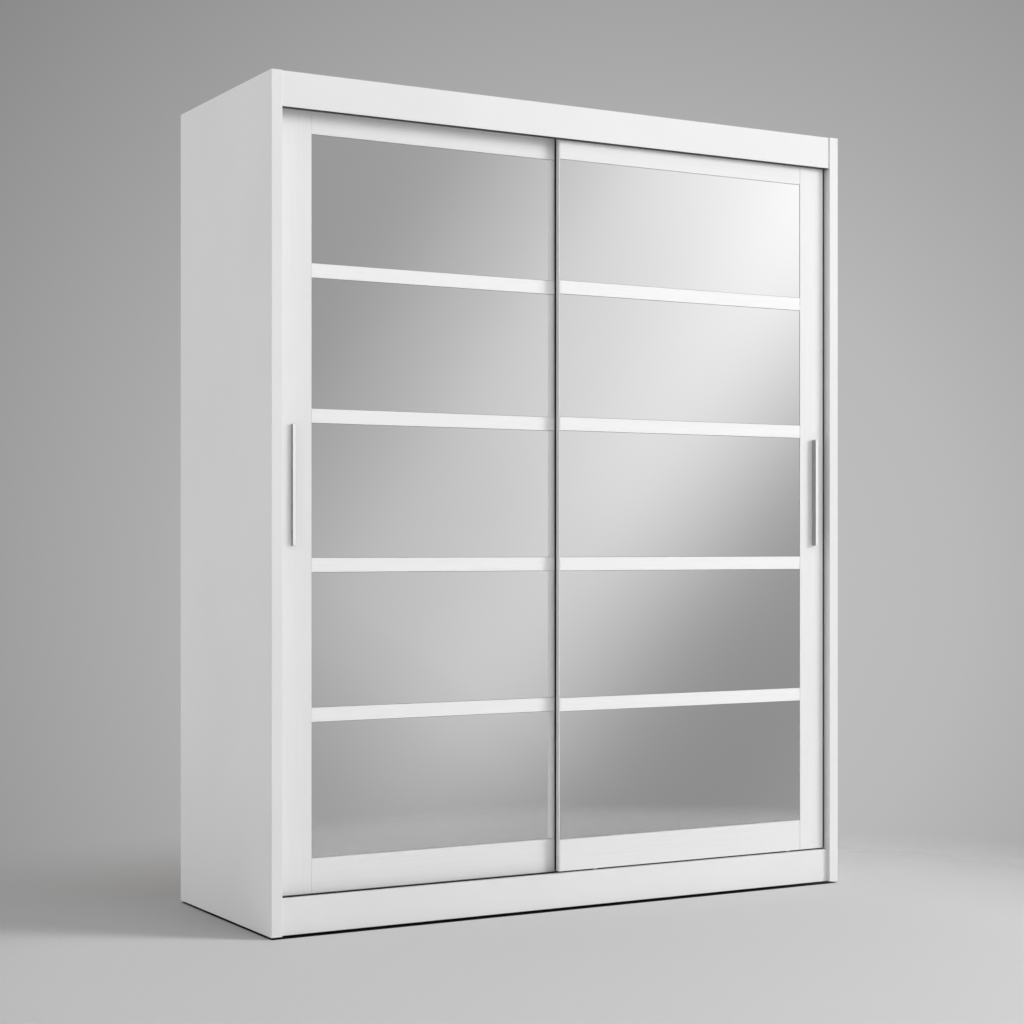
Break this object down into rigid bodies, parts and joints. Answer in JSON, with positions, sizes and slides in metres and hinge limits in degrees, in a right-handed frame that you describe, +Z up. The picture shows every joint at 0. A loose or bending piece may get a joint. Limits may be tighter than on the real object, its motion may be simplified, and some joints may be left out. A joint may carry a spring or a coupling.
{
  "type": "sliding door wardrobe",
  "caption": "Free-standing white wardrobe with mirrored sliding doors on separate tracks, bar handles, cornice, plinth, shelves and a hanging rail.",
  "frame": {"origin": "on the floor, under the middle of the case", "axes": "+X to the right seen from the front, +Y from the front to the back, +Z up"},
  "size_m": [1.8, 0.64, 2.19],
  "materials": {
    "white_board": "satin",
    "white_core": "satin",
    "white_trim": "satin",
    "back_sheet": "matte",
    "beech": "matte",
    "white_aluminium": "satin",
    "satin_aluminium": "satin",
    "black_aluminium": "satin",
    "chromed_steel": "polished",
    "zinc_steel": "satin",
    "silvered_mirror": "polished",
    "dark_pile": "matte",
    "white_nylon": "satin",
    "black_plastic": "matte",
    "grey_rubber": "matte"
  },
  "bodies": {
    "case": {"back_panel_left": "back_sheet", "back_panel_right": "back_sheet", "bottom_panel": "white_board", "bottom_track": "black_aluminium", "cam_fittings": "zinc_steel", "case_screws": "zinc_steel", "cornice": "white_board", "door_buffers": "grey_rubber", "floor_glides": "black_plastic", "front_plinth": "white_board", "hanging_rail": "chromed_steel", "left_side_panel": "white_board", "middle_partition": "white_board", "rail_sockets": "chromed_steel", "rear_plinth": "white_board", "right_side_panel": "white_board", "shelf_pins": "zinc_steel", "shelves": "white_board", "top_panel": "white_board", "top_track": "white_aluminium", "wall_brackets": "zinc_steel", "wood_dowels": "beech"},
    "left_door": {"left_door_bottom_rail": "white_trim", "left_door_core": "white_core", "left_door_edge_profile": "white_trim", "left_door_handle": "satin_aluminium", "left_door_mid_rails": "white_trim", "left_door_mirror_1": "silvered_mirror", "left_door_mirror_2": "silvered_mirror", "left_door_mirror_3": "silvered_mirror", "left_door_mirror_4": "silvered_mirror", "left_door_mirror_5": "silvered_mirror", "left_door_pile_seals": "dark_pile", "left_door_roller_axles": "zinc_steel", "left_door_roller_brackets": "zinc_steel", "left_door_screws": "zinc_steel", "left_door_stile": "white_trim", "left_door_top_guides": "white_nylon", "left_door_top_rail": "white_trim"},
    "right_door": {"right_door_bottom_rail": "white_trim", "right_door_core": "white_core", "right_door_edge_profile": "white_trim", "right_door_handle": "satin_aluminium", "right_door_mid_rails": "white_trim", "right_door_mirror_1": "silvered_mirror", "right_door_mirror_2": "silvered_mirror", "right_door_mirror_3": "silvered_mirror", "right_door_mirror_4": "silvered_mirror", "right_door_mirror_5": "silvered_mirror", "right_door_pile_seals": "dark_pile", "right_door_roller_axles": "zinc_steel", "right_door_roller_brackets": "zinc_steel", "right_door_screws": "zinc_steel", "right_door_stile": "white_trim", "right_door_top_guides": "white_nylon", "right_door_top_rail": "white_trim"},
    "left_door_wheel_1": {"left_door_wheel_1": "white_nylon"},
    "left_door_wheel_2": {"left_door_wheel_2": "white_nylon"},
    "right_door_wheel_1": {"right_door_wheel_1": "white_nylon"},
    "right_door_wheel_2": {"right_door_wheel_2": "white_nylon"}
  },
  "joints": [
    {"name": "left_door_slide", "type": "slide", "parent": "case", "child": "left_door", "axis": [1, 0, 0], "range_m": [0, 0.8193]},
    {"name": "right_door_slide", "type": "slide", "parent": "case", "child": "right_door", "axis": [1, 0, 0], "range_m": [-0.8193, 0]},
    {"name": "left_door_wheel_1_spin", "type": "hinge", "parent": "left_door", "child": "left_door_wheel_1", "pos_m": [-0.7405, -0.259, 0.1143], "axis": [0, 1, 0], "continuous": true},
    {"name": "left_door_wheel_2_spin", "type": "hinge", "parent": "left_door", "child": "left_door_wheel_2", "pos_m": [-0.0788, -0.259, 0.1143], "axis": [0, 1, 0], "continuous": true},
    {"name": "right_door_wheel_1_spin", "type": "hinge", "parent": "right_door", "child": "right_door_wheel_1", "pos_m": [0.0788, -0.286, 0.1143], "axis": [0, 1, 0], "continuous": true},
    {"name": "right_door_wheel_2_spin", "type": "hinge", "parent": "right_door", "child": "right_door_wheel_2", "pos_m": [0.7405, -0.286, 0.1143], "axis": [0, 1, 0], "continuous": true}
  ],
  "couplings": [
    {"joint": "left_door_wheel_1_spin", "follows": "left_door_slide", "rad_per_m": 76.923},
    {"joint": "left_door_wheel_2_spin", "follows": "left_door_slide", "rad_per_m": 76.923},
    {"joint": "right_door_wheel_1_spin", "follows": "right_door_slide", "rad_per_m": 76.923},
    {"joint": "right_door_wheel_2_spin", "follows": "right_door_slide", "rad_per_m": 76.923}
  ]
}
